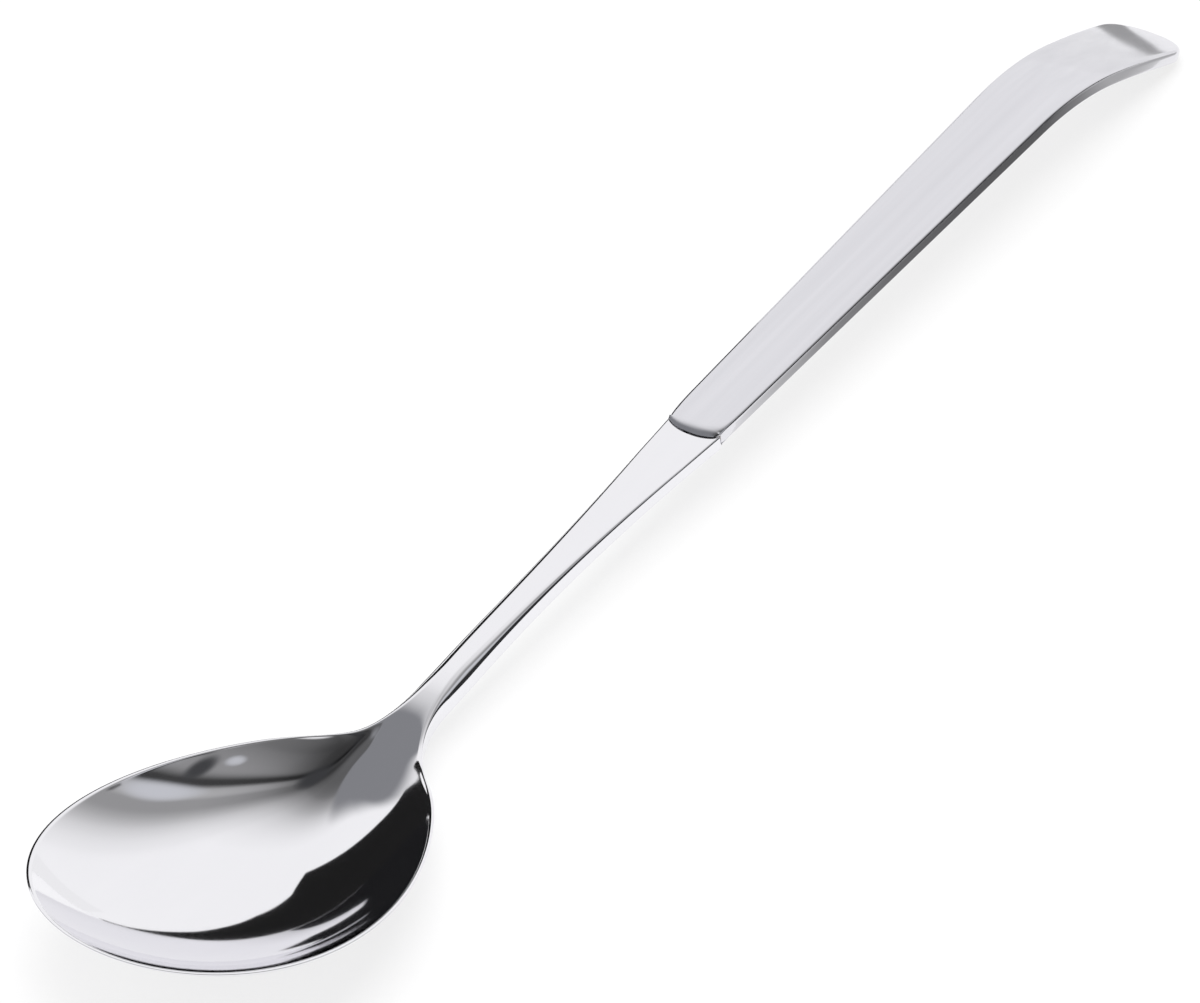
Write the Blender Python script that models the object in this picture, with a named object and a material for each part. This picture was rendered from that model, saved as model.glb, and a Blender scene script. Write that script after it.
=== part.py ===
import bpy
import bmesh
import math
import numpy as np

for item in list(bpy.data.objects):
    bpy.data.objects.remove(item, do_unlink=True)

# Serving spoon lying on a table. X runs along the spoon towards the handle, Z is up, sizes are in metres.
# While the pieces are made, X is 0 at the middle of the bowl's rim and Z is 0 on the table.

# Bowl
BOWL_LENGTH = 0.0911
BOWL_WIDTH = 0.0616
EGG_TAPER = 0.222
EGG_FULLNESS = 0.051
RIM_HEIGHT = 0.01546
RIM_TILT_DEG = 9.6
RIM_LAND = 0.0008
RIM_DROP = 0.0002
BOWL_FLOOR = 0.0017
REST_FLAT_CUT = 0.00035

# Heel and neck of the same blank
HEEL_START_RATIO = 0.843
HEEL_SWEEP = 0.0129
HEEL_DISH = 0.003
HEEL_DROP = 0.0044
HEEL_RISE_RUN = 0.017
HEEL_BLEND = 0.0012
HEEL_BLEND_RUN = 0.020
DISH_FADE_RUN = 0.030
NECK_LENGTH = 0.1000
NECK_START_WIDTH = 0.0064
NECK_WAIST_WIDTH = 0.0061
NECK_WAIST_RUN = 0.040
NECK_FLARE_POWER = 1.9
NECK_TOP = 0.0122
NECK_SLOPE = 0.0183
NECK_SAG = 0.0005
NECK_THICKNESS = 0.0030
HEEL_THICKNESS = 0.0042
NECK_DRAFT = 0.00015

# Handle
FIT_GAP = 0.0003
SHEET = 0.0006
HANDLE_MOUTH_WIDTH = 0.0115
HANDLE_END_WIDTH = 0.0170
HANDLE_WALL = 0.0027
END_WALL = 0.0019
END_TAPER_RUN = 0.015
HANDLE_SLOPE = 0.0247
HANDLE_STRAIGHT = 0.1102
BEND_RADIUS = 0.0766
BEND_DEG = 19.6
TAIL_RADIUS = 0.232
END_CORNER = 0.0073
LEAST_CORNER = 0.0008
EDGE_CHAMFER = 0.0003
LIP_REACH = 0.0018
LIP_ROLL = 0.00045
BEAD_WIDTH = 0.0006
BACK_BELLY = 0.0022
BELLY_FADE_START = 0.020
BELLY_FADE_END = 0.010

# Tang and mouth
TANG_WIDTH = 0.0040
TANG_THICKNESS = 0.0015
TANG_STEP = 0.0002
TANG_LENGTH = 0.057
MOUTH_BRAZE_DEPTH = 0.0016
FILLING_END_MARGIN = 0.004
CORE_SHOULDER = 0.0002
SLOT_OVERRUN = 0.003

STEEL = (0.86, 0.86, 0.88, 1.0)
SATIN_STEEL = (0.80, 0.80, 0.82, 1.0)
BRAZE = (0.72, 0.66, 0.52, 1.0)
CEMENT = (0.62, 0.60, 0.57, 1.0)

ACROSS = 8
HALF_LENGTH = BOWL_LENGTH / 2
HALF_WIDTH = BOWL_WIDTH / 2
NECK_START = HALF_LENGTH + HEEL_SWEEP
WAIST_AT = HALF_LENGTH + NECK_WAIST_RUN
MOUTH_AT = HALF_LENGTH + NECK_LENGTH


def smooth_step(low, high, value):
    t = np.clip((np.asarray(value, float) - low) / (high - low), 0.0, 1.0)
    return t * t * (3.0 - 2.0 * t)


def soft_max(first, second, width):
    return 0.5 * (first + second + np.sqrt((first - second) ** 2 + width ** 2))


# Height of the blank's upper edge: the tilted rim plane, then the heel, then the neck.
def edge_height(x):
    x = np.asarray(x, float)
    plane = RIM_HEIGHT - x * math.tan(math.radians(RIM_TILT_DEG))
    along = (x - HALF_LENGTH) / HEEL_RISE_RUN
    run = np.clip((x - HALF_LENGTH) / NECK_LENGTH, 0.0, 1.0)
    dip = HEEL_DROP * np.exp(-np.maximum(along, -3.0)) + NECK_SAG * run ** 2
    neck = NECK_TOP + NECK_SLOPE * (x - HALF_LENGTH) - dip
    blend = HEEL_BLEND * smooth_step(0.4 * HALF_LENGTH, 0.9 * HALF_LENGTH, x)
    blend = blend * (1.0 - smooth_step(NECK_START, NECK_START + HEEL_BLEND_RUN, x))
    return soft_max(plane, neck, blend)


# Thickness of the blank's edge: thin at the rim, the full neck thickness past the heel.
def edge_drop(x):
    neck = HEEL_THICKNESS + (NECK_THICKNESS - HEEL_THICKNESS) * smooth_step(NECK_START, MOUTH_AT, x)
    return RIM_DROP + (neck - RIM_DROP) * smooth_step(0.7 * HALF_LENGTH, NECK_START - 0.3 * HEEL_SWEEP, x)


def neck_half_width(x):
    x = np.asarray(x, float)
    to_waist = np.clip((x - NECK_START) / (WAIST_AT - NECK_START), 0.0, 1.0)
    flare = np.clip((x - WAIST_AT) / (MOUTH_AT - WAIST_AT), 0.0, 1.0)
    start = NECK_START_WIDTH + (NECK_WAIST_WIDTH - NECK_START_WIDTH) * smooth_step(0.0, 1.0, to_waist)
    return 0.5 * (start + (HANDLE_MOUTH_WIDTH - NECK_WAIST_WIDTH) * flare ** NECK_FLARE_POWER)


def egg_point(angle, inset, scale):
    c = math.cos(angle)
    s = math.sin(angle)
    wide = 1.0 - EGG_TAPER * c - EGG_FULLNESS * c * c
    return scale * (HALF_LENGTH - inset) * c, scale * (HALF_WIDTH - inset) * s * wide


# How far out a point lies on the family of egg curves: 0 in the middle, 1 on the rim.
def egg_radius(x, y, inset):
    x = np.asarray(x, float)
    y = np.abs(np.asarray(y, float))
    low = np.abs(x) / (HALF_LENGTH - inset) + 1e-12
    high = low + 4.0 * y / (HALF_WIDTH - inset) + 1e-9
    for _ in range(60):
        mid = 0.5 * (low + high)
        c = np.clip(x / (mid * (HALF_LENGTH - inset)), -1.0, 1.0)
        wide = 1.0 - EGG_TAPER * c - EGG_FULLNESS * c * c
        inside = mid * (HALF_WIDTH - inset) * np.sqrt(1.0 - c * c) * wide < y
        low = np.where(inside, mid, low)
        high = np.where(inside, high, mid)
    return 0.5 * (low + high)


# Outline of one half of the blank from the neck round to the tip, as (x, half width).
def half_outline(inset, neck_inset):
    start_angle = math.acos(HEEL_START_RATIO)
    ex, ey = egg_point(start_angle, inset, 1.0)
    fx, fy = egg_point(start_angle + 0.001, inset, 1.0)
    slope = np.array([ex - fx, ey - fy])
    slope = slope / np.linalg.norm(slope)
    p0 = np.array([ex, ey])
    p3 = np.array([NECK_START, NECK_START_WIDTH / 2 - neck_inset])
    p1 = p0 + slope * 0.66 * HEEL_SWEEP
    p2 = p3 - np.array([0.70 * HEEL_SWEEP, 0.0])
    points = []
    for t in np.linspace(1.0, 0.0, 13)[:-1]:
        b = (1 - t) ** 3 * p0 + 3 * (1 - t) ** 2 * t * p1 + 3 * (1 - t) * t * t * p2 + t ** 3 * p3
        points.append((b[0], b[1]))
    for angle in np.linspace(start_angle, math.pi, 37):
        points.append(egg_point(angle, inset, 1.0))
    return points


def outline_half_width(x):
    outer = half_outline(0.0, 0.0)
    xs = np.array([p[0] for p in outer])[::-1]
    hs = np.array([p[1] for p in outer])[::-1]
    return np.where(np.asarray(x) > NECK_START, neck_half_width(x), np.interp(x, xs, hs))


def bowl_profile(radius):
    return 1.0 - 0.75 * radius ** 2 - 0.25 * radius ** 4


def soft_depth(depth, x, y):
    half = np.maximum(outline_half_width(x), 1e-6)
    near_axis = np.clip(1.0 - (np.asarray(y) / half) ** 2, 0.0, 1.0)
    width = HEEL_DISH * smooth_step(0.62 * HALF_LENGTH, HALF_LENGTH, x) * near_axis
    return 0.5 * (depth + np.sqrt(depth ** 2 + width ** 2))


def inner_height(x, y, depth):
    hollow = depth * bowl_profile(egg_radius(x, y, RIM_LAND))
    return edge_height(x) - soft_depth(hollow, x, y)


def outer_height(x, y, depth):
    hollow = (depth + BOWL_FLOOR - RIM_DROP) * bowl_profile(egg_radius(x, y, 0.0))
    return edge_height(x) - edge_drop(x) - soft_depth(hollow, x, y)


# The bowl is as deep as it must be for its ground flat to lie on the table.
def bowl_depth():
    x = np.linspace(-0.5 * HALF_LENGTH, 0.8 * HALF_LENGTH, 200)
    low = 0.2 * RIM_HEIGHT
    high = 2.0 * RIM_HEIGHT
    for _ in range(50):
        mid = 0.5 * (low + high)
        if outer_height(x, np.zeros_like(x), mid).min() > -REST_FLAT_CUT:
            low = mid
        else:
            high = mid
    return 0.5 * (low + high)


DEPTH = bowl_depth()


def new_material(name, colour, roughness, metallic):
    material = bpy.data.materials.new(name)
    material.use_nodes = True
    shader = material.node_tree.nodes["Principled BSDF"]
    shader.inputs["Base Color"].default_value = colour
    shader.inputs["Roughness"].default_value = roughness
    shader.inputs["Metallic"].default_value = metallic
    return material


def new_object(name, points, faces, material):
    mesh = bpy.data.meshes.new(name)
    mesh.from_pydata([tuple(float(v) for v in p) for p in points], [], faces)
    work = bmesh.new()
    work.from_mesh(mesh)
    bmesh.ops.recalc_face_normals(work, faces=work.faces[:])
    work.to_mesh(mesh)
    work.free()
    mesh.validate()
    thing = bpy.data.objects.new(name, mesh)
    bpy.context.scene.collection.objects.link(thing)
    if material is not None:
        mesh.materials.append(material)
    mesh.shade_smooth()
    mesh.set_sharp_from_angle(angle=math.radians(32))
    return thing


def new_cutter(name, points, faces):
    cutter = new_object(name, points, faces, None)
    cutter.hide_render = True
    cutter.display_type = "WIRE"
    return cutter


def cut(thing, cutter):
    modifier = thing.modifiers.new(cutter.name, "BOOLEAN")
    modifier.operation = "DIFFERENCE"
    modifier.solver = "EXACT"
    modifier.object = cutter


def box_mesh(low, high):
    points = [(x, y, z) for x in (low[0], high[0]) for y in (low[1], high[1]) for z in (low[2], high[2])]
    faces = [(0, 1, 3, 2), (4, 6, 7, 5), (0, 4, 5, 1), (2, 3, 7, 6), (0, 2, 6, 4), (1, 5, 7, 3)]
    return points, faces


# Loft through closed rings with the same number of points. Each ring is an upper row from left to right
# followed by a lower row from right to left, so the ends can be closed by strips.
def loft(rings):
    count = len(rings[0])
    points = [p for ring in rings for p in ring]
    faces = []
    for i in range(len(rings) - 1):
        for j in range(count):
            k = (j + 1) % count
            faces.append((i * count + j, i * count + k, (i + 1) * count + k, (i + 1) * count + j))
    for base in (0, (len(rings) - 1) * count):
        for j in range(count // 2 - 1):
            faces.append((base + j, base + j + 1, base + count - 2 - j, base + count - 1 - j))
    return points, faces


# Bowl, neck and tang
def make_blank():
    inner_half = half_outline(RIM_LAND, 0.0)
    outer_half = half_outline(0.0, NECK_DRAFT)
    inner_loop = [(x, y) for x, y in inner_half] + [(x, -y) for x, y in reversed(inner_half[:-1])]
    outer_loop = [(x, y) for x, y in outer_half] + [(x, -y) for x, y in reversed(outer_half[:-1])]
    corner = len(inner_loop) - 1
    for j in range(1, ACROSS):
        t = -1.0 + 2.0 * j / ACROSS
        inner_loop.append((inner_half[0][0], inner_half[0][1] * t))
        outer_loop.append((outer_half[0][0], outer_half[0][1] * t))
    rays = len(inner_loop)
    rings = 17
    centre = np.array([0.0, 0.0])
    points = []
    faces = []

    def add_dish(loop, height):
        first = len(points)
        points.append((centre[0], centre[1], float(height(centre[:1], centre[1:], DEPTH)[0])))
        edge = np.array(loop)
        for i in range(1, rings + 1):
            t = i / rings
            t = 1.0 - (1.0 - t) ** 1.35
            xy = centre + t * (edge - centre)
            z = height(xy[:, 0], xy[:, 1], DEPTH)
            points.extend((xy[k, 0], xy[k, 1], z[k]) for k in range(rays))
        for k in range(rays):
            n = (k + 1) % rays
            faces.append((first, first + 1 + k, first + 1 + n))
            for i in range(rings - 1):
                a = first + 1 + i * rays
                b = a + rays
                faces.append((a + k, b + k, b + n, a + n))
        return first + 1 + (rings - 1) * rays

    top = add_dish(inner_loop, inner_height)
    bottom = add_dish(outer_loop, outer_height)
    for k in range(corner):
        faces.append((top + k, top + k + 1, bottom + k + 1, bottom + k))

    order = [0] + list(range(rays - 1, corner, -1)) + [corner]
    upper = [top + k for k in order]
    lower = [bottom + k for k in order]

    def add_section(x, upper_y, lower_y, upper_z, lower_z):
        nonlocal upper, lower
        first = len(points)
        for j in range(ACROSS + 1):
            points.append((x, upper_y * (1.0 - 2.0 * j / ACROSS), upper_z[j]))
        for j in range(ACROSS + 1):
            points.append((x, lower_y * (1.0 - 2.0 * j / ACROSS), lower_z[j]))
        new_upper = [first + j for j in range(ACROSS + 1)]
        new_lower = [first + ACROSS + 1 + j for j in range(ACROSS + 1)]
        for j in range(ACROSS):
            faces.append((upper[j], upper[j + 1], new_upper[j + 1], new_upper[j]))
            faces.append((lower[j], lower[j + 1], new_lower[j + 1], new_lower[j]))
        faces.append((upper[0], lower[0], new_lower[0], new_upper[0]))
        faces.append((upper[-1], lower[-1], new_lower[-1], new_upper[-1]))
        upper = new_upper
        lower = new_lower

    spread = np.linspace(1.0, -1.0, ACROSS + 1)
    for x in np.linspace(NECK_START, MOUTH_AT, 19)[1:]:
        half = float(neck_half_width(x))
        xs = np.full(ACROSS + 1, x)
        fade = 1.0 - float(smooth_step(NECK_START, NECK_START + DISH_FADE_RUN, x))
        top_z = (1 - fade) * edge_height(xs) + fade * inner_height(xs, spread * half, DEPTH)
        low_edge = edge_height(xs) - edge_drop(xs)
        low_z = (1 - fade) * low_edge + fade * outer_height(xs, spread * (half - NECK_DRAFT), DEPTH)
        add_section(x, half, half - NECK_DRAFT, top_z, low_z)
    tang_top = float(edge_height(MOUTH_AT)) - TANG_STEP
    flat = np.full(ACROSS + 1, tang_top)
    add_section(MOUTH_AT, TANG_WIDTH / 2, TANG_WIDTH / 2, flat, flat - TANG_THICKNESS)
    far = MOUTH_AT + TANG_LENGTH
    flat = flat + TANG_LENGTH * HANDLE_SLOPE
    add_section(far, TANG_WIDTH / 2, TANG_WIDTH / 2, flat, flat - TANG_THICKNESS)
    for j in range(ACROSS):
        faces.append((upper[j], upper[j + 1], lower[j + 1], lower[j]))
    return points, faces


# Middle line of the handle's top face. The distance s is measured from the mouth.
HANDLE_TOP = float(edge_height(MOUTH_AT)) + FIT_GAP + SHEET
BEND_RUN = BEND_RADIUS * math.radians(BEND_DEG)


def path_at(s):
    straight = min(s, HANDLE_STRAIGHT)
    bend = min(max(s - HANDLE_STRAIGHT, 0.0), BEND_RUN)
    tail = max(s - HANDLE_STRAIGHT - BEND_RUN, 0.0)
    x = MOUTH_AT + straight * math.cos(HANDLE_SLOPE)
    z = HANDLE_TOP + straight * math.sin(HANDLE_SLOPE)
    angle = HANDLE_SLOPE
    for run, radius in ((bend, BEND_RADIUS), (tail, TAIL_RADIUS)):
        turned = angle - run / radius
        x = x + radius * (math.sin(angle) - math.sin(turned))
        z = z + radius * (math.cos(turned) - math.cos(angle))
        angle = turned
    return x, z, angle


def on_handle(s, y, n):
    x, z, angle = path_at(s)
    return (x - n * math.sin(angle), y, z + n * math.cos(angle))


# The handle runs down until the lower edge of its end lies on the table.
def handle_length():
    low = HANDLE_STRAIGHT
    high = HANDLE_STRAIGHT + BEND_RUN + 2.0 * HANDLE_STRAIGHT
    for _ in range(60):
        mid = 0.5 * (low + high)
        if on_handle(mid, 0.0, -END_WALL)[2] > 0.0:
            low = mid
        else:
            high = mid
    return 0.5 * (low + high)


LENGTH = handle_length()


# Height of the side wall: it thins towards the end.
def wall_at(s):
    t = min(max((s - LENGTH + END_TAPER_RUN) / END_TAPER_RUN, 0.0), 1.0)
    return HANDLE_WALL - (HANDLE_WALL - END_WALL) * t * t


def handle_half_width(s):
    t = min(max(s / LENGTH, 0.0), 1.0)
    return 0.5 * (HANDLE_MOUTH_WIDTH + (HANDLE_END_WIDTH - HANDLE_MOUTH_WIDTH) * t)


def plan_half(s, inset):
    end = LENGTH - inset
    corner = max(END_CORNER - inset, LEAST_CORNER)
    half = handle_half_width(s) - inset
    over = s - (end - corner)
    if over > 0.0:
        half = half - corner + math.sqrt(max(corner ** 2 - over ** 2, 0.0))
    return half


def stations(start, inset):
    end = LENGTH - inset
    corner = max(END_CORNER - inset, LEAST_CORNER)
    result = list(np.linspace(start, HANDLE_STRAIGHT, 10))
    result += list(np.linspace(HANDLE_STRAIGHT, end - corner, 17)[1:])
    result += [end - corner + corner * math.sin(math.radians(a)) for a in (18, 36, 54, 72, 90)]
    return result


def belly_at(s):
    swell = 1.0 - float(smooth_step(HANDLE_STRAIGHT - BELLY_FADE_START, LENGTH - BELLY_FADE_END, s))
    return BACK_BELLY * swell


# Points round the handle at an inset from its outline: left side, end, right side.
# They lie a share of the wall's height and a further distance n from the top face.
def perimeter(inset, share, n, rows):
    side = [(s, plan_half(s, inset)) for s in stations(FIT_GAP, inset)]
    end_s, end_half = side[-1]
    run = [(s, -half) for s, half in side]
    run += [(end_s, end_half * (2.0 * j / rows - 1.0)) for j in range(1, rows)]
    run += [(s, half) for s, half in reversed(side)]
    return [on_handle(s, y, n - share * wall_at(s)) for s, y in run], side


# Top of the handle with its side walls, end wall and lip
def make_channel():
    rows = 8
    points = []
    faces = []

    def add(new_points):
        first = len(points)
        points.extend(new_points)
        return list(range(first, first + len(new_points)))

    loops = []
    outside = ((EDGE_CHAMFER, 0.0, 0.0), (0.0, 0.0, -EDGE_CHAMFER), (0.0, 0.0, -SHEET), (0.0, 1.0, 0.0))
    inside = ((SHEET, 1.0, 0.0), (SHEET, 0.0, -SHEET))
    sides = []
    for inset, share, n in outside + inside:
        ring, side = perimeter(inset, share, n, rows)
        loops.append(add(ring))
        sides.append(side)
    for one, two in zip(loops, loops[1:]):
        for i in range(len(one) - 1):
            faces.append((one[i], one[i + 1], two[i + 1], two[i]))

    # Rows across the top face and across the ceiling join the two sides.
    def add_rows(loop, side, n):
        count = len(side)
        grid = []
        for i in range(count - 1):
            s, half = side[i]
            middle = add([on_handle(s, half * (2.0 * j / rows - 1.0), n) for j in range(1, rows)])
            grid.append([loop[i]] + middle + [loop[len(loop) - 1 - i]])
        grid.append([loop[count - 1 + j] for j in range(rows + 1)])
        for one, two in zip(grid, grid[1:]):
            for j in range(rows):
                faces.append((one[j], one[j + 1], two[j + 1], two[j]))
        return grid[0]

    top_row = add_rows(loops[0], sides[0], 0.0)
    ceiling_row = add_rows(loops[5], sides[5], -SHEET)
    for k in (0, -1):
        faces.append((loops[2][k], loops[3][k], loops[4][k], loops[5][k]))

    # The lip laps over the neck. Its front edge is a shallow curve, rolled down.
    half = handle_half_width(0.0)

    def front(y):
        return -LIP_REACH + (LIP_REACH + FIT_GAP - LIP_ROLL) * min(abs(y) / half, 1.0) ** 2

    def lip_ring(share, roll):
        top = -LIP_ROLL + math.sqrt(LIP_ROLL ** 2 - (LIP_ROLL * (1.0 - roll)) ** 2)

        def place(y, n):
            start = front(y) + LIP_ROLL * 0.9 * roll
            return on_handle(start + (FIT_GAP - start) * share, y, n)

        across = [2.0 * j / rows - 1.0 for j in range(rows + 1)]
        ring = [place((half - EDGE_CHAMFER) * t, top) for t in across]
        ring += [place(half, top - EDGE_CHAMFER * (1.0 + top / SHEET)), place(half, -SHEET)]
        ring += [place((half - SHEET) * t, -SHEET) for t in reversed(across)]
        ring += [place(-half, -SHEET), place(-half, top - EDGE_CHAMFER * (1.0 + top / SHEET))]
        return add(ring)

    rings = [lip_ring(0.0, roll) for roll in (0.0, 0.15, 0.45, 1.0)]
    rings.append(lip_ring(0.5, 1.0))
    mouth = top_row + [loops[1][-1], loops[2][-1]] + ceiling_row[::-1] + [loops[2][0], loops[1][0]]
    rings.append(mouth)
    count = len(mouth)
    for one, two in zip(rings, rings[1:]):
        for j in range(count):
            k = (j + 1) % count
            faces.append((one[j], one[k], two[k], two[j]))
    first = rings[0]
    for j in range(rows):
        faces.append((first[j], first[j + 1], first[2 * rows + 2 - j], first[2 * rows + 3 - j]))
    faces.append((first[rows], first[rows + 1], first[rows + 2], first[rows + 3]))
    faces.append((first[0], first[2 * rows + 3], first[2 * rows + 4], first[2 * rows + 5]))
    return points, faces


# Bowed strip that closes the channel from below
BACK_INSET = SHEET + FIT_GAP + BEAD_WIDTH + FIT_GAP


def make_back():
    rings = []
    for s in stations(FIT_GAP, BACK_INSET):
        half = plan_half(s, BACK_INSET)
        full = handle_half_width(s) - BACK_INSET
        ys = np.linspace(-half, half, 11)
        bow = [belly_at(s) * (1.0 - (y / full) ** 2) for y in ys]
        upper = [on_handle(s, y, -wall_at(s) + SHEET - b) for y, b in zip(ys, bow)]
        lower = [on_handle(s, y, -wall_at(s) - b) for y, b in zip(ys, bow)]
        rings.append(upper + lower[::-1])
    return loft(rings)


# Bead of braze between the back strip and the channel's walls, along both sides and round the end
def make_bead():
    outer = SHEET + FIT_GAP
    inner = outer + BEAD_WIDTH
    rings = []
    outer_run = [(s, plan_half(s, outer)) for s in stations(FIT_GAP, outer)]
    inner_run = [(s, plan_half(s, inner)) for s in stations(FIT_GAP, inner)]
    run = list(zip(outer_run, inner_run))
    path = [((a, -b), (c, -d)) for (a, b), (c, d) in run] + [(p, q) for p, q in reversed(run)]
    for (s1, y1), (s2, y2) in path:
        one = -wall_at(s1)
        two = -wall_at(s2)
        ring = [on_handle(s1, y1, one + SHEET), on_handle(s2, y2, two + SHEET)]
        ring += [on_handle(s2, y2, two), on_handle(s1, y1, one)]
        rings.append(ring)
    return loft(rings)


# Section that fills the hollow handle with a gap on every side
def core_ring(s):
    full = handle_half_width(s) - BACK_INSET
    half = plan_half(s, SHEET + FIT_GAP)
    shelf = -wall_at(s) + SHEET + FIT_GAP
    belly = min(full, half - CORE_SHOULDER)
    ys = np.linspace(-belly, belly, 9)
    lower = [on_handle(s, -half, shelf)]
    lower += [on_handle(s, y, shelf - belly_at(s) * max(1.0 - (y / full) ** 2, 0.0)) for y in ys]
    lower += [on_handle(s, half, shelf)]
    upper = [on_handle(s, -half, -SHEET - FIT_GAP)]
    upper += [on_handle(s, y, -SHEET - FIT_GAP) for y in ys]
    upper += [on_handle(s, half, -SHEET - FIT_GAP)]
    return upper + lower[::-1]


MOUTH_BRAZE_START = FIT_GAP
FILLING_START = MOUTH_BRAZE_START + MOUTH_BRAZE_DEPTH + FIT_GAP


def make_mouth_braze():
    return loft([core_ring(MOUTH_BRAZE_START), core_ring(MOUTH_BRAZE_START + MOUTH_BRAZE_DEPTH)])


def make_filling():
    run = list(np.linspace(FILLING_START, HANDLE_STRAIGHT, 10))
    run += list(np.linspace(HANDLE_STRAIGHT, LENGTH - END_CORNER - FILLING_END_MARGIN, 13)[1:])
    return loft([core_ring(s) for s in run])


# Slot that leaves room for the tang
def tang_cutter():
    half = TANG_WIDTH / 2 + FIT_GAP
    low = -SHEET - FIT_GAP - TANG_STEP - TANG_THICKNESS - FIT_GAP
    rings = []
    for s in (-SLOT_OVERRUN, TANG_LENGTH + FIT_GAP):
        ys = (-half, half)
        upper = [on_handle(s, y, SLOT_OVERRUN) for y in ys]
        lower = [on_handle(s, y, low) for y in ys[::-1]]
        rings.append(upper + lower)
    return loft(rings)


polished = new_material("polished_steel", STEEL, 0.06, 1.0)
satin = new_material("satin_steel", SATIN_STEEL, 0.32, 1.0)
seam_metal = new_material("seam_metal", BRAZE, 0.35, 1.0)
cement = new_material("cement", CEMENT, 0.85, 0.0)
back_steel = new_material("back_steel", SATIN_STEEL, 0.30, 1.0)
mouth_metal = new_material("mouth_metal", BRAZE, 0.30, 1.0)

blank = new_object("bowl_neck_tang", *make_blank(), polished)
channel = new_object("handle_channel", *make_channel(), satin)
back = new_object("handle_back_strip", *make_back(), back_steel)
bead = new_object("seam_braze", *make_bead(), seam_metal)
mouth = new_object("mouth_braze", *make_mouth_braze(), mouth_metal)
filling = new_object("handle_filling", *make_filling(), cement)

ground_low = (-BOWL_LENGTH, -BOWL_WIDTH, -RIM_HEIGHT)
ground_high = (BOWL_LENGTH, BOWL_WIDTH, 0.0)
ground = new_cutter("cut_ground", *box_mesh(ground_low, ground_high))
slot = new_cutter("cut_slot", *tang_cutter())
cut(blank, ground)
cut(mouth, slot)
cut(filling, slot)

# Origin: on the table, below the middle of the spoon's length.
tip_x = -HALF_LENGTH
end_x = path_at(LENGTH)[0]
shift = 0.5 * (tip_x + end_x)
for thing in (blank, channel, back, bead, mouth, filling, ground, slot):
    for vertex in thing.data.vertices:
        vertex.co.x = vertex.co.x - shift
    thing.data.update()
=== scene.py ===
import bpy
import math
import numpy as np
from mathutils import Matrix, Vector


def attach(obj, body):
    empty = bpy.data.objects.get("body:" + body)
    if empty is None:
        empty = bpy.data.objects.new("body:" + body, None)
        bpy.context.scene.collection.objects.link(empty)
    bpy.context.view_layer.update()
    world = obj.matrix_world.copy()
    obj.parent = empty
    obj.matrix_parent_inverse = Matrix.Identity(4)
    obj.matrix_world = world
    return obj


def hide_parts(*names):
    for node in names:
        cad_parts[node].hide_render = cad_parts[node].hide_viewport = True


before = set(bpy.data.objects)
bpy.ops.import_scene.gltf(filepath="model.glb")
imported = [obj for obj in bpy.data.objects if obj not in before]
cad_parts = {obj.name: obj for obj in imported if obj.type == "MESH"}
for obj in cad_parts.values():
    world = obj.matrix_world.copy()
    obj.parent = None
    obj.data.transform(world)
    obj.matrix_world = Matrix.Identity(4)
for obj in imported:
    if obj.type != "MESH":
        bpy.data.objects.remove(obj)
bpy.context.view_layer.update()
print("frame loaded:", ", ".join(sorted(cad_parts)))

# sizes in metres, x from the middle of the rim towards the handle
bowl = {
    "middleX": -0.132358,   # where the middle of the rim lies in the frame
    "length": 0.0911, "width": 0.0616, "taper": 0.222, "fullness": 0.051,
    "rimHeight": 0.01546, "rimTilt": 9.6, "rimLand": 0.0008, "rimDrop": 0.0002,
    "depth": 0.012776, "floor": 0.0017, "squarePart": 0.75, "fourthPart": 0.25,   # profile of the dish
    "innerRound": 0.00036, "outerRound": 0.00032, "roundLimit": 0.45,
    "heelRays": 30, "eggRays": 92, "rings": 44, "ringPower": 1.3, "across": 20, "halvings": 50,
    "landSteps": (0.0, 0.012, 0.07, 0.08, 0.5, 1.0), "lowSteps": 5, "sharpDeg": 50,
}
neck = {
    "heelStart": 0.843, "heelSweep": 0.0129, "sweepOut": 0.66, "sweepIn": 0.70,
    "heelDrop": 0.0044, "heelRise": 0.017, "heelBlend": 0.0012, "heelBlendRun": 0.020,
    "blendFrom": 0.4, "blendTo": 0.9, "thickFrom": 0.7, "thickShort": 0.3,
    "heelDish": 0.003, "heelFlat": 3, "dishStart": 0.62, "dishFrom": 0.0015, "dishFade": 0.012,
    "length": 0.1000, "startWidth": 0.0064, "waistWidth": 0.0061, "waistRun": 0.040, "flarePower": 1.9,
    "top": 0.0122, "slope": 0.0183, "sag": 0.0005,
    "thickness": 0.0030, "heelThickness": 0.0042, "draft": 0.00015,
    "edgeRound": 0.0026, "edgePull": 0.5, "edgeSteps": 14, "heelRound": 0.0009, "mouthRound": 0.0006,
    "roundStart": 0.8, "roundFrom": 0.0040, "roundTo": 0.021, "roundFade": 1.8, "lowRound": 0.00035,
    "raise": 0.00045, "widen": 0.00027,   # the rounded neck stands this much fuller at the heel
    "facetRun": 0.011, "facetIn": 0.00025, "facetDown": 0.0012, "facetGap": 0.0003,   # side facet at the joint
    "facetSteps": (0.0, 0.12, 0.88, 1.0),
    "sections": 110,
    "tangWidth": 0.0040, "tangThickness": 0.0015, "tangStep": 0.0002, "tangLength": 0.057,
}
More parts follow.
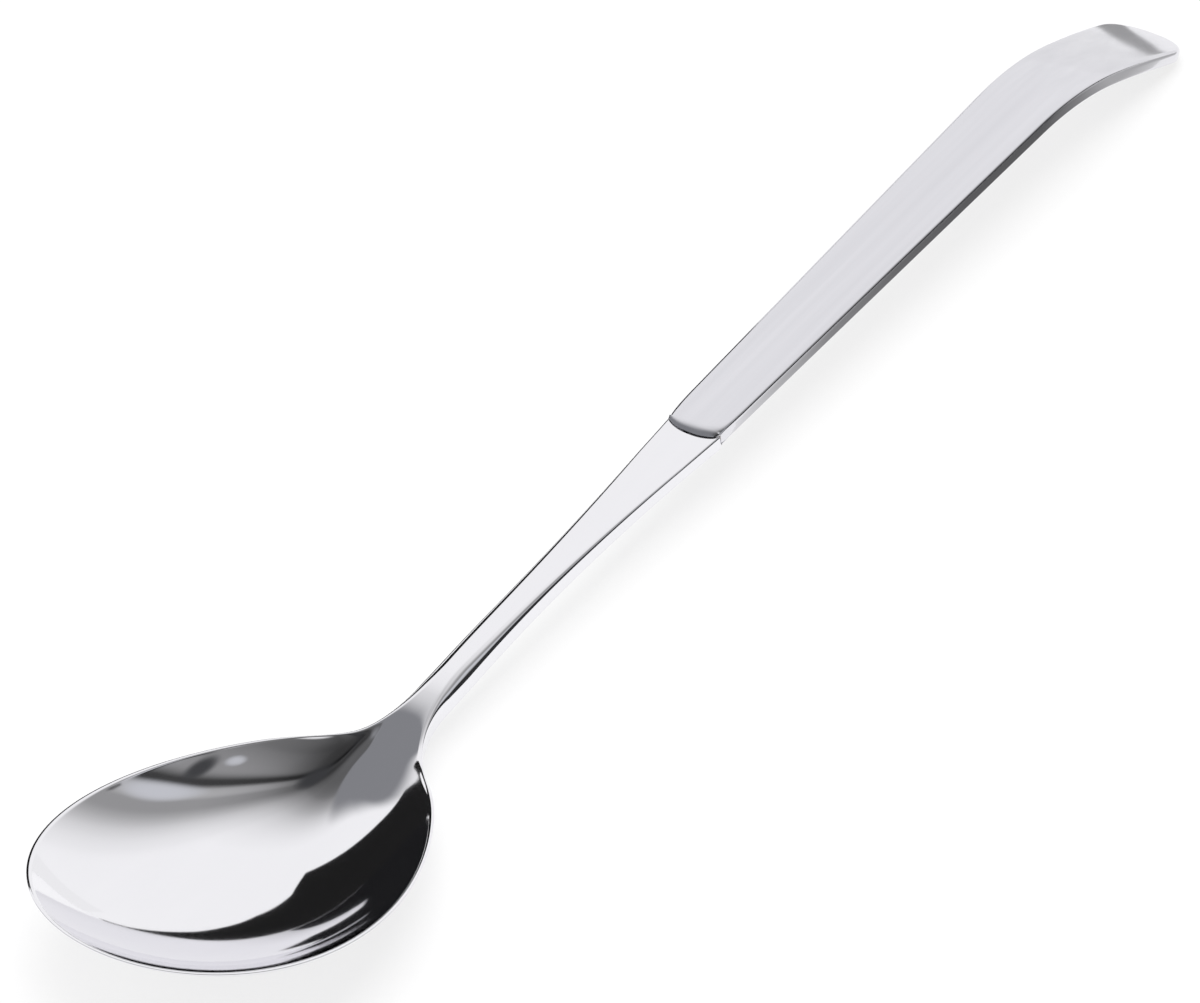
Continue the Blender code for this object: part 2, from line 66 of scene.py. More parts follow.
handle = {
    "gap": 0.0003, "sheet": 0.0006, "mouthWidth": 0.0115, "endWidth": 0.0170,
    "wall": 0.0027, "endWall": 0.0019, "endTaper": 0.015,
    "slope": 0.0247, "straight": 0.1102, "bendRadius": 0.0766, "bendDeg": 19.6, "tailRadius": 0.232,
    "endCorner": 0.0073, "leastCorner": 0.0008,
    "crown": 0.00010, "topRound": 0.00090, "lowRound": 0.00025, "facetRun": 0.0058, "wallStep": 0.00005,
    "lipReach": 0.0020, "lipPower": 2.5, "lipEase": 0.0001, "lipSeat": 0.00024, "lipNarrow": 0.0003,
    "lipRun": 0.0048, "lipDrop": 0.00060, "lipRings": 10, "lipEnd": 0.9,
    "beadWidth": 0.0006, "beadSunk": 0.00003, "beadHollow": 0.0002, "beadClose": 0.00002, "beadSteps": 6,
    "belly": 0.0022, "bellyFadeStart": 0.020, "bellyFadeEnd": 0.010, "backAcross": 25,
    "rows": 16, "topSteps": 10, "lowSteps": 5, "grainSteps": 4, "wallMiddle": 0.6, "halvings": 60,
    # stations along the front, the straight run, the bend and the end's corner
    "frontRun": 0.005, "stations": (12, 40, 56, 15), "sharpDeg": 40,
}

halfLength = bowl["length"] / 2
halfWidth = bowl["width"] / 2
neckStart = halfLength + neck["heelSweep"]
waistAt = halfLength + neck["waistRun"]
mouthAt = halfLength + neck["length"]


def smoothStep(low, high, value):
    t = np.clip((np.asarray(value, float) - low) / (high - low), 0.0, 1.0)
    return t * t * (3.0 - 2.0 * t)


# upper edge of the blank: tilted rim, then heel, then neck
def edgeHeight(x):
    x = np.asarray(x, float)
    plane = bowl["rimHeight"] - x * math.tan(math.radians(bowl["rimTilt"]))
    along = np.maximum((x - halfLength) / neck["heelRise"], -3.0)   # kept small over the bowl
    run = np.clip((x - halfLength) / neck["length"], 0.0, 1.0)
    rise = neck["top"] + neck["slope"] * (x - halfLength)
    rise = rise - neck["heelDrop"] * np.exp(-along) - neck["sag"] * run ** 2
    blend = neck["heelBlend"] * smoothStep(neck["blendFrom"] * halfLength, neck["blendTo"] * halfLength, x)
    blend = blend * (1.0 - smoothStep(neckStart, neckStart + neck["heelBlendRun"], x))
    return 0.5 * (plane + rise + np.sqrt((plane - rise) ** 2 + blend ** 2))


# thickness of the edge, from the thin rim to the neck
def edgeDrop(x):
    full = neck["heelThickness"] + (neck["thickness"] - neck["heelThickness"]) * smoothStep(neckStart, mouthAt, x)
    thickTo = neckStart - neck["thickShort"] * neck["heelSweep"]
    return bowl["rimDrop"] + (full - bowl["rimDrop"]) * smoothStep(neck["thickFrom"] * halfLength, thickTo, x)


def neckHalf(x):
    x = np.asarray(x, float)
    toWaist = smoothStep(neckStart, waistAt, x)
    flare = np.clip((x - waistAt) / (mouthAt - waistAt), 0.0, 1.0)
    start = neck["startWidth"] + (neck["waistWidth"] - neck["startWidth"]) * toWaist
    return 0.5 * (start + (handle["mouthWidth"] - neck["waistWidth"]) * flare ** neck["flarePower"])


def eggPoint(angle, inset):
    c = math.cos(angle)
    wide = 1.0 - bowl["taper"] * c - bowl["fullness"] * c * c
    return (halfLength - inset) * c, (halfWidth - inset) * math.sin(angle) * wide


# 0 in the middle of the bowl, 1 on the rim
def eggRadius(x, y, inset):
    y = np.abs(y)
    low = np.abs(x) / (halfLength - inset) + 1e-12
    high = low + 4.0 * y / (halfWidth - inset) + 1e-9
    for _ in range(bowl["halvings"]):
        mid = 0.5 * (low + high)
        c = np.clip(x / (mid * (halfLength - inset)), -1.0, 1.0)
        wide = 1.0 - bowl["taper"] * c - bowl["fullness"] * c * c
        inside = mid * (halfWidth - inset) * np.sqrt(1.0 - c * c) * wide < y
        low = np.where(inside, mid, low)
        high = np.where(inside, high, mid)
    return 0.5 * (low + high)


def halfOutline(inset, neckInset):
    startAngle = math.acos(neck["heelStart"])
    p0 = np.array(eggPoint(startAngle, inset))
    back = np.array(eggPoint(startAngle + 0.001, inset))
    way = (p0 - back) / np.linalg.norm(p0 - back)
    p3 = np.array([neckStart, neck["startWidth"] / 2 - neckInset])
    p1 = p0 + way * neck["sweepOut"] * neck["heelSweep"]
    p2 = p3 - np.array([neck["sweepIn"] * neck["heelSweep"], 0.0])
    points = []
    for t in np.linspace(1.0, 0.0, bowl["heelRays"] + 1)[:-1]:
        points.append((1 - t) ** 3 * p0 + 3 * (1 - t) ** 2 * t * p1 + 3 * (1 - t) * t * t * p2 + t ** 3 * p3)
    for angle in np.linspace(startAngle, math.pi, bowl["eggRays"] + 1):
        points.append(np.array(eggPoint(angle, inset)))
    return np.array(points)


outlineTable = halfOutline(0.0, 0.0)[::-1]


def outlineHalf(x):
    return np.where(np.asarray(x) > neckStart, neckHalf(x), np.interp(x, outlineTable[:, 0], outlineTable[:, 1]))


# the dish runs out into a shallow trough in the heel
def dishDepth(depth, x, y):
    half = np.maximum(outlineHalf(x), 1e-6)
    nearAxis = np.clip(1.0 - np.abs(y / half) ** neck["heelFlat"], 0.0, 1.0)
    width = neck["heelDish"] * smoothStep(neck["dishStart"] * halfLength, halfLength, x) * nearAxis
    width = width * (1.0 - smoothStep(halfLength + neck["dishFrom"], neckStart, x))
    return 0.5 * (depth + np.sqrt(depth ** 2 + width ** 2))


# 1 where the neck starts, 0 at the mouth
def neckLeft(x):
    return 1.0 - np.clip((np.asarray(x, float) - neckStart) / (mouthAt - neckStart), 0.0, 1.0)


# the neck is nearly half round at the heel and flattens towards the mouth
def neckFull(x):
    full = smoothStep(halfLength + neck["roundFrom"], halfLength + neck["roundTo"], x)
    return full * neckLeft(x) ** neck["roundFade"]


# how wide the upper edge is rounded
def neckRound(x):
    plain = neck["mouthRound"] + (neck["heelRound"] - neck["mouthRound"]) * neckLeft(x)
    grown = smoothStep(neck["roundStart"] * halfLength, halfLength + neck["roundFrom"], x)
    plain = bowl["innerRound"] + (plain - bowl["innerRound"]) * grown
    return plain + (neck["edgeRound"] - neck["heelRound"]) * neckFull(x)


# how far the rounding reaches towards the corner
def neckPull(x):
    return 1.0 + (neck["edgePull"] - 1.0) * neckFull(x)


def dishProfile(r):
    return 1.0 - bowl["squarePart"] * r ** 2 - bowl["fourthPart"] * r ** 4


def innerHeight(x, y):
    r = eggRadius(x, y, bowl["rimLand"])
    return edgeHeight(x) + neck["raise"] * neckFull(x) - dishDepth(bowl["depth"] * dishProfile(r), x, y)


def outerHeight(x, y):
    r = eggRadius(x, y, 0.0)
    full = bowl["depth"] + bowl["floor"] - bowl["rimDrop"]
    return edgeHeight(x) - edgeDrop(x) - dishDepth(full * dishProfile(r), x, y)


def makePiece(name, points, faces, replaced, slotName, sharpDeg):
    mesh = bpy.data.meshes.new(name)
    moved = np.array(points, float)
    moved[:, 0] += bowl["middleX"]
    moved[:, 2] = np.maximum(moved[:, 2], 0.0)
    mesh.from_pydata(moved.tolist(), [], faces)
    mesh.validate()
    piece = bpy.data.objects.new(name, mesh)
    bpy.context.scene.collection.objects.link(piece)
    bpy.context.view_layer.objects.active = piece
    piece.select_set(True)
    bpy.ops.object.mode_set(mode="EDIT")
    bpy.ops.mesh.select_all(action="SELECT")
    bpy.ops.mesh.normals_make_consistent(inside=False)
    bpy.ops.object.mode_set(mode="OBJECT")
    piece.select_set(False)
    mesh.shade_smooth()
    mesh.set_sharp_from_angle(angle=math.radians(sharpDeg))
    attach(piece, "root")
    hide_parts(replaced)
    print("made", name, len(mesh.vertices), "points")
    return piece


# rounded corner from a past the corner b to c, ends left out; a lower pull keeps it farther from the corner
def roundCorner(a, b, c, count, pull=1.0):
    corner = []
    for t in np.arange(1, count) / count:
        parts = (1 - t) ** 2, 2 * t * (1 - t) * pull, t ** 2
        corner.append((parts[0] * a + parts[1] * b + parts[2] * c) / (parts[0] + parts[1] + parts[2]))
    return corner


def makeBowlNeck():
    points = []
    faces = []

    def add(rows):
        first = len(points)
        points.extend(np.asarray(rows, float).tolist())
        return np.arange(first, len(points))

    def closedLoop(inset, neckInset):
        half = halfOutline(inset, neckInset)
        return np.vstack([half, half[-2::-1] * [1, -1]])

    def outward(loop):
        way = np.gradient(loop, axis=0)
        normal = np.stack([way[:, 1], -way[:, 0]], 1)
        normal /= np.linalg.norm(normal, axis=1)[:, None]
        normal[0] = (0.0, 1.0)
        normal[-1] = (0.0, -1.0)
        return normal

    def fuller(loop):
        return loop + neck["widen"] * neckFull(loop[:, 0])[:, None] * outward(loop)

    innerEdge = fuller(closedLoop(bowl["rimLand"], 0.0))
    outerEdge = fuller(closedLoop(0.0, neck["draft"]))
    count = len(innerEdge)
    radius = neckRound(innerEdge[:, 0])[:, None]
    innerIn = innerEdge - radius * outward(innerEdge)
    outerIn = outerEdge - bowl["outerRound"] * outward(outerEdge)
    spread = np.arange(1, bowl["across"]) / bowl["across"]

    def lift(xy, height):
        return np.column_stack([xy, height(xy[:, 0], xy[:, 1])])

    def dish(loop, height):
        # the loop goes round the bowl, then across the start of the neck
        gap = loop[-1] + spread[:, None] * (loop[0] - loop[-1])
        whole = np.vstack([loop, gap])
        centre = add(lift(np.zeros((1, 2)), height))[0]
        last = None
        for i in range(1, bowl["rings"] + 1):
            t = 1.0 - (1.0 - i / bowl["rings"]) ** bowl["ringPower"]
            ring = add(lift(whole * t, height))
            for k in range(len(whole)):
                n = (k + 1) % len(whole)
                if last is None:
                    faces.append((centre, ring[k], ring[n]))
                else:
                    faces.append((last[k], ring[k], ring[n], last[n]))
            last = ring
        return last

    top = dish(innerIn, innerHeight)
    low = dish(outerIn, outerHeight)
    # rim: rounded inner edge, land, rounded outer edge
    vTop = lift(innerEdge, lambda x, y: edgeHeight(x) + neck["raise"] * neckFull(x))
    vLow = lift(outerEdge, lambda x, y: edgeHeight(x) - edgeDrop(x))
    span = vLow - vTop
    size = np.linalg.norm(span, axis=1)[:, None]
    a = np.array(points)[top[:count]]
    b = vTop + span * np.minimum(radius / size, bowl["roundLimit"])
    c = vLow - span * bowl["outerRound"] / size
    d = np.array(points)[low[:count]]
    strips = roundCorner(a, vTop, b, neck["edgeSteps"], neckPull(innerEdge[:, 0])[:, None])
    strips += [b + (c - b) * t for t in bowl["landSteps"]]
    strips += roundCorner(c, vLow, d, bowl["lowSteps"])
    loops = [top[:count]] + [add(s) for s in strips] + [low[:count]]
    for one, two in zip(loops, loops[1:]):
        for k in range(count - 1):
            faces.append((one[k], one[k + 1], two[k + 1], two[k]))

    # neck: rings of top row, right side, bottom row, left side
    sideCount = len(strips)
    right = [loop[count - 1] for loop in loops[1:-1]]
    left = [loop[0] for loop in loops[1:-1]]
    acrossTop = [top[0]] + list(top[count:][::-1]) + [top[count - 1]]
    acrossLow = [low[0]] + list(low[count:][::-1]) + [low[count - 1]]
    last = acrossTop + right + acrossLow[::-1] + left[::-1]
    places = np.linspace(1.0, -1.0, bowl["across"] + 1)

    def ringTo(rows):
        nonlocal last
        ring = add(rows)
        for j in range(len(ring)):
            n = (j + 1) % len(ring)
            faces.append((last[j], last[n], ring[n], ring[j]))
        last = list(ring)

    def section(x):
        half = float(neckHalf(x) + neck["widen"] * neckFull(x))
        r = float(neckRound(x))
        r2 = neck["lowRound"]
        cut = max(1.0 - (mouthAt - x) / neck["facetRun"], 0.0)
        crest = half - cut * neck["facetIn"]
        fade = 1.0 - float(smoothStep(neckStart, neckStart + neck["dishFade"], x))
        under = float(edgeHeight(x) - edgeDrop(x))
        edge = float(edgeHeight(x) + neck["raise"] * neckFull(x))
        yTop = places * (crest - r)
        yLow = places * (half - neck["draft"] - r2)
        xs = np.full(len(places), x)
        zTop = (1 - fade) * edge + fade * innerHeight(xs, yTop)
        zLow = (1 - fade) * under + fade * outerHeight(xs, yLow)
        upper = np.column_stack([xs, yTop, zTop])
        lower = np.column_stack([xs, yLow, zLow])
        sides = []
        for sign, k in ((-1.0, -1), (1.0, 0)):
            v1 = np.array([x, sign * crest, edge])
            v2 = np.array([x, sign * (half - neck["draft"]), under])
            facet = np.array([x, sign * half, edge - r - neck["facetGap"] - cut * neck["facetDown"]])
            b1 = v1 + (facet - v1) * r / np.linalg.norm(facet - v1)
            c1 = v2 - (v2 - facet) * r2 / np.linalg.norm(v2 - facet)
            side = roundCorner(upper[k], v1, b1, neck["edgeSteps"], float(neckPull(x)))
            side += [b1 + (facet - b1) * t for t in neck["facetSteps"]] + [0.5 * (facet + c1), c1]
            sides.append(side + roundCorner(c1, v2, lower[k], bowl["lowSteps"]))
        return np.vstack([upper, sides[0], lower[::-1], sides[1][::-1]])

    for x in np.linspace(neckStart, mouthAt, neck["sections"] + 1)[1:]:
        ringTo(section(x))

    def tangRing(x, zTop):
        half = neck["tangWidth"] / 2
        upper = [(x, half * p, zTop) for p in places]
        lower = [(x, half * p, zTop - neck["tangThickness"]) for p in places]
        downs = [zTop - neck["tangThickness"] * (j + 1) / (sideCount + 1) for j in range(sideCount)]
        return upper + [(x, -half, z) for z in downs] + lower[::-1] + [(x, half, z) for z in downs[::-1]]

    tangTop = float(edgeHeight(mouthAt)) - neck["tangStep"]
    ringTo(tangRing(mouthAt, tangTop))
    ringTo(tangRing(mouthAt + neck["tangLength"], tangTop + neck["tangLength"] * handle["slope"]))
    faces.append(tuple(last))
    return makePiece("bowlAndNeck", points, faces, "bowl_neck_tang", "polished_steel", bowl["sharpDeg"])


# middle line of the handle's top face, s measured from the mouth
handleTop = float(edgeHeight(mouthAt)) + handle["gap"] + handle["sheet"]
bendRun = handle["bendRadius"] * math.radians(handle["bendDeg"])


def pathAt(s):
    straight = min(s, handle["straight"])
    bend = min(max(s - handle["straight"], 0.0), bendRun)
    tail = max(s - handle["straight"] - bendRun, 0.0)
    angle = handle["slope"]
    x = mouthAt + straight * math.cos(angle)
    z = handleTop + straight * math.sin(angle)
    for run, radius in ((bend, handle["bendRadius"]), (tail, handle["tailRadius"])):
        turned = angle - run / radius
        x += radius * (math.sin(angle) - math.sin(turned))
        z += radius * (math.cos(turned) - math.cos(angle))
        angle = turned
    return x, z, angle


def onHandle(s, y, n):
    x, z, angle = pathAt(s)
    return np.array([x - n * math.sin(angle), y, z + n * math.cos(angle)])


def findLength():
    low, high = handle["straight"], handle["straight"] * 3 + bendRun
    for _ in range(handle["halvings"]):
        mid = 0.5 * (low + high)
        low, high = (mid, high) if onHandle(mid, 0.0, -handle["endWall"])[2] > 0.0 else (low, mid)
    return 0.5 * (low + high)


handleLength = findLength()


def wallAt(s):
    t = min(max((s - handleLength + handle["endTaper"]) / handle["endTaper"], 0.0), 1.0)
    return handle["wall"] - (handle["wall"] - handle["endWall"]) * t * t


def handleHalf(s):
    t = min(max(s / handleLength, 0.0), 1.0)
    return 0.5 * (handle["mouthWidth"] + (handle["endWidth"] - handle["mouthWidth"]) * t)


def planHalf(s, inset):
    corner = max(handle["endCorner"] - inset, handle["leastCorner"])
    half = handleHalf(s) - inset
    over = s - (handleLength - inset - corner)
    if over > 0.0:
        half += math.sqrt(max(corner ** 2 - over ** 2, 0.0)) - corner
    return half


def stations(start, inset):
    end = handleLength - inset
    corner = max(handle["endCorner"] - inset, handle["leastCorner"])
    inFront, inStraight, inBend, inCorner = handle["stations"]
    places = list(np.linspace(start, handle["frontRun"], inFront))
    places += list(np.linspace(handle["frontRun"], handle["straight"], inStraight)[1:])
    places += list(np.linspace(handle["straight"], end - corner, inBend)[1:])
    places += [end - corner + corner * math.sin(math.radians(a)) for a in np.linspace(0, 90, inCorner)[1:]]
    return places


def makeShell():
    points = []
    faces = []
    rows = handle["rows"]

    def add(newPoints):
        first = len(points)
        points.extend([list(p) for p in newPoints])
        return list(range(first, len(points)))

    half = handleHalf(0.0)

    def front(y):
        return -handle["lipReach"] * (1.0 - min(abs(y) / half, 1.0) ** handle["lipPower"]) - handle["lipEase"]

    # crown across the top, and the ramp down to the neck at the lip
    def crownAt(s, y):
        ramp = max(1.0 - (s - front(y)) / handle["lipRun"], 0.0)
        return handle["crown"] * min(abs(y) / handleHalf(s), 1.0) ** 2 + handle["lipDrop"] * ramp ** 3

    # side facet at the mouth, the same size there as the neck's
    def cutAt(s):
        return max(1.0 - (s - handle["gap"]) / handle["facetRun"], 0.0)

    # right side, end and left side of one loop round the handle
    def goRound(side):
        endS, endHalf = side[-1]
        run = [(s, -h) for s, h in side]
        run += [(endS, endHalf * (2.0 * j / rows - 1.0)) for j in range(1, rows)]
        return run + [(s, h) for s, h in reversed(side)]

    # t runs over the rounded top edge, share down the wall and u up the facet
    def loopAt(t, inset, share, n, u):
        back = rim * (1 - t) ** 2 + inset
        side = [(s, planHalf(s, back + u * neck["facetIn"] * cutAt(s))) for s in stations(handle["gap"], back)]
        ring = []
        for s, y in goRound(side):
            low = rim * t * t + (1.0 - u) * (neck["facetGap"] + neck["facetDown"] * cutAt(s))
            ring.append(onHandle(s, y, n - share * wallAt(s) - (1.0 - share) * (low + crownAt(s, y))))
        return add(ring), side

    def ceilingLoop():
        side = [(s, planHalf(s, sheet)) for s in stations(handle["gap"], sheet)]
        return add([onHandle(s, y, -sheet) for s, y in goRound(side)]), side

    rim = handle["topRound"]
    r2 = handle["lowRound"]
    sheet = handle["sheet"]
    step = handle["wallStep"]
    wallStart = handle["topSteps"]
    plan = [(t, 0.0, 0.0, 0.0, 1.0) for t in np.linspace(0.0, 1.0, wallStart)]
    plan += [(1.0, 0.0, 0.0, -step, u) for u in neck["facetSteps"][::-1]]
    plan += [(1.0, 0.0, handle["wallMiddle"], 0.0, 0.0)]
    plan += [(1.0, r2 * t * t, 1.0, r2 * (1 - t) ** 2, 0.0) for t in np.linspace(0.0, 1.0, handle["lowSteps"])]
    plan += [(1.0, sheet, 1.0, 0.0, 0.0)]
    rounds = [loopAt(*values) for values in plan] + [ceilingLoop()]
    loops = [loop for loop, side in rounds]
    sides = [side for loop, side in rounds]
    for one, two in zip(loops, loops[1:]):
        for i in range(len(one) - 1):
            faces.append((one[i], one[i + 1], two[i + 1], two[i]))
    # the grain runs on over the start of the rounded edge
    sideFaces = (handle["grainSteps"] * (len(loops[0]) - 1), len(faces))

    def addRows(loop, side, n, drop):
        grid = []
        for i in range(len(side) - 1):
            s, half = side[i]
            ys = [half * (2.0 * j / rows - 1.0) for j in range(1, rows)]
            middle = add([onHandle(s, y, n - drop * crownAt(s, y)) for y in ys])
            grid.append([loop[i]] + middle + [loop[len(loop) - 1 - i]])
        grid.append([loop[len(side) - 1 + j] for j in range(rows + 1)])
        for one, two in zip(grid, grid[1:]):
            for j in range(rows):
                faces.append((one[j], one[j + 1], two[j + 1], two[j]))
        return grid[0]

    topRow = addRows(loops[0], sides[0], 0.0, 1.0)
    ceilingRow = addRows(loops[-1], sides[-1], -sheet, 0.0)
    for k in (0, -1):
        faces.append(tuple(loop[k] for loop in loops[wallStart:]))

    # lip that laps onto the neck
    foot = rim + step
    crest = half - neck["facetIn"]

    def lipRing(share):
        seat = -sheet - handle["lipSeat"] * (1.0 - share)

        def place(y, t):
            s = front(y) + (handle["gap"] - front(y)) * share
            top = -crownAt(s, y)
            return onHandle(s, y, top + (seat - top) * t)

        side = crest - handle["lipNarrow"] * (1.0 - share)
        turns = np.linspace(0.0, 1.0, wallStart)[1:]
        column = [(side - rim * (1 - t) ** 2, rim * t * t / foot) for t in turns] + [(side, 1.0)]
        ring = [place((side - rim) * (2.0 * j / rows - 1.0), 0.0) for j in range(rows + 1)]
        ring += [place(y, t) for y, t in column]
        ring += [place((half - sheet) * (1.0 - 2.0 * j / rows), 1.0) for j in range(rows + 1)]
        ring += [place(-y, t) for y, t in column[::-1]]
        return add(ring)

    rings = [lipRing(t) for t in np.linspace(0.0, handle["lipEnd"], handle["lipRings"])]
    mouth = topRow + [loop[-1] for loop in loops[1:wallStart + 1]] + ceilingRow[::-1]
    mouth += [loop[0] for loop in loops[1:wallStart + 1]][::-1]
    rings.append(mouth)
    for one, two in zip(rings, rings[1:]):
        for j in range(len(mouth)):
            n = (j + 1) % len(mouth)
            faces.append((one[j], one[n], two[n], two[j]))
    faces.append(tuple(rings[0]))
    piece = makePiece("satinShell", points, faces, "handle_channel", "satin_steel", handle["sharpDeg"])
    return piece, sideFaces


backInset = handle["sheet"] + handle["gap"] + handle["beadWidth"] + handle["gap"]


def loft(rings):
    count = len(rings[0])
    points = [p for ring in rings for p in ring]
    faces = []
    for i in range(len(rings) - 1):
        for j in range(count):
            n = (j + 1) % count
            faces.append((i * count + j, i * count + n, (i + 1) * count + n, (i + 1) * count + j))
    faces.append(tuple(range(count)))
    faces.append(tuple(range((len(rings) - 1) * count, len(rings) * count)))
    return points, faces


def bellyAt(s):
    fadeFrom = handle["straight"] - handle["bellyFadeStart"]
    fadeTo = handleLength - handle["bellyFadeEnd"]
    return handle["belly"] * (1.0 - float(smoothStep(fadeFrom, fadeTo, s)))


def makeBack():
    rings = []
    for s in stations(handle["gap"], backInset):
        half = planHalf(s, backInset)
        full = handleHalf(s) - backInset
        ys = np.linspace(-half, half, handle["backAcross"])
        bow = bellyAt(s) * (1.0 - (ys / full) ** 2)
        upper = [onHandle(s, y, -wallAt(s) + handle["sheet"] - b) for y, b in zip(ys, bow)]
        lower = [onHandle(s, y, -wallAt(s) - b) for y, b in zip(ys, bow)]
        rings.append(upper + lower[::-1])
    return makePiece("backStrip", *loft(rings), "handle_back_strip", "back_steel", handle["sharpDeg"])


# the bead fills the joint, its lower face sunk a little
def makeBead():
    outer = handle["sheet"] + handle["beadClose"]
    inner = backInset - handle["beadClose"]
    outerRun = [(s, planHalf(s, outer)) for s in stations(handle["gap"], outer)]
    innerRun = [(s, planHalf(s, inner)) for s in stations(handle["gap"], inner)]
    pairs = list(zip(outerRun, innerRun))
    path = [((a, -b), (c, -d)) for (a, b), (c, d) in pairs] + [(p, q) for p, q in reversed(pairs)]
    rings = []
    for (s1, y1), (s2, y2) in path:
        one, two = -wallAt(s1), -wallAt(s2)
        lower = []
        for t in np.linspace(0.0, 1.0, handle["beadSteps"]):
            sunk = handle["beadSunk"] + handle["beadHollow"] * t * (1.0 - t)
            lower.append(onHandle(s2 + (s1 - s2) * t, y2 + (y1 - y2) * t, two + (one - two) * t + sunk))
        rings.append([onHandle(s1, y1, one + handle["sheet"]), onHandle(s2, y2, two + handle["sheet"])] + lower)
    return makePiece("seamBead", *loft(rings), "seam_braze", "seam_metal", handle["sharpDeg"])


bowlNeck = makeBowlNeck()
shell, shellSides = makeShell()
back = makeBack()
bead = makeBead()


# shader helpers
def link(tree, source, target):
    tree.links.new(source, target)


def addNode(tree, kind, place, **values):
    node = tree.nodes.new(kind)
    node.location = place
    for key, value in values.items():
        setattr(node, key, value)
    return node


# a maths node fed by sockets or plain numbers
def calc(tree, operation, values, place):
    node = addNode(tree, "ShaderNodeMath", place, operation=operation)
    for socket, value in zip(node.inputs, values):
        if isinstance(value, float):
            socket.default_value = value
        else:
            link(tree, value, socket)
    return node.outputs["Value"]


# values that all the finishes share
grain = {
    "lineDetail": 3.0, "streakDetail": 2.0, "streakStretch": (0.25, 0.13, 0.13),
    "hazeDetail": 4.0, "hazeRoughness": 0.55, "hazeFrom": 0.35, "hazeTo": 0.70,
    "lineShare": 0.6, "hazeShare": 0.4, "bumpHeight": 0.00005,
}


def startGroup(name, inputs, outputs):
    tree = bpy.data.node_groups.new(name, "ShaderNodeTree")
    for label, value in inputs.items():
        socket = tree.interface.new_socket(name=label, in_out="INPUT", socket_type="NodeSocketFloat")
        socket.default_value = value
    for label in outputs:
        tree.interface.new_socket(name=label, in_out="OUTPUT", socket_type="NodeSocketFloat")
    return tree, tree.nodes.new("NodeGroupInput"), tree.nodes.new("NodeGroupOutput")


# hair-fine lines along the spoon, in metres of object space
def hairlineGroup():
    tree, source, result = startGroup("hairlines", {"Along": 40.0, "Across": 2600.0}, ["Lines", "Streaks"])
    coord = addNode(tree, "ShaderNodeTexCoord", (-900, 0))
    stretch = addNode(tree, "ShaderNodeCombineXYZ", (-900, -250))
    link(tree, source.outputs["Along"], stretch.inputs["X"])
    link(tree, source.outputs["Across"], stretch.inputs["Y"])
    link(tree, source.outputs["Across"], stretch.inputs["Z"])
    fine = addNode(tree, "ShaderNodeVectorMath", (-650, 0), operation="MULTIPLY")
    link(tree, coord.outputs["Object"], fine.inputs[0])
    link(tree, stretch.outputs["Vector"], fine.inputs[1])
    lines = addNode(tree, "ShaderNodeTexNoise", (-400, 100))
    lines.inputs["Scale"].default_value = 1.0
    lines.inputs["Detail"].default_value = grain["lineDetail"]
    link(tree, fine.outputs["Vector"], lines.inputs["Vector"])
    wide = addNode(tree, "ShaderNodeVectorMath", (-400, -200), operation="MULTIPLY")
    wide.inputs[1].default_value = grain["streakStretch"]
    link(tree, fine.outputs["Vector"], wide.inputs[0])
    streaks = addNode(tree, "ShaderNodeTexNoise", (-150, -200))
    streaks.inputs["Scale"].default_value = 1.0
    streaks.inputs["Detail"].default_value = grain["streakDetail"]
    link(tree, wide.outputs["Vector"], streaks.inputs["Vector"])
    link(tree, lines.outputs["Fac"], result.inputs["Lines"])
    link(tree, streaks.outputs["Fac"], result.inputs["Streaks"])
    return tree


# faint cloudy change left by handling and wiping
def hazeGroup():
    tree, source, result = startGroup("wipedHaze", {"Size": 60.0}, ["Haze"])
    coord = addNode(tree, "ShaderNodeTexCoord", (-700, 0))
    noise = addNode(tree, "ShaderNodeTexNoise", (-450, 0))
    noise.inputs["Detail"].default_value = grain["hazeDetail"]
    noise.inputs["Roughness"].default_value = grain["hazeRoughness"]
    link(tree, coord.outputs["Object"], noise.inputs["Vector"])
    link(tree, source.outputs["Size"], noise.inputs["Scale"])
    soft = addNode(tree, "ShaderNodeMapRange", (-200, 0), interpolation_type="SMOOTHSTEP")
    soft.inputs["From Min"].default_value = grain["hazeFrom"]
    soft.inputs["From Max"].default_value = grain["hazeTo"]
    link(tree, noise.outputs["Fac"], soft.inputs["Value"])
    link(tree, soft.outputs["Result"], result.inputs["Haze"])
    return tree


hairlines = hairlineGroup()
haze = hazeGroup()

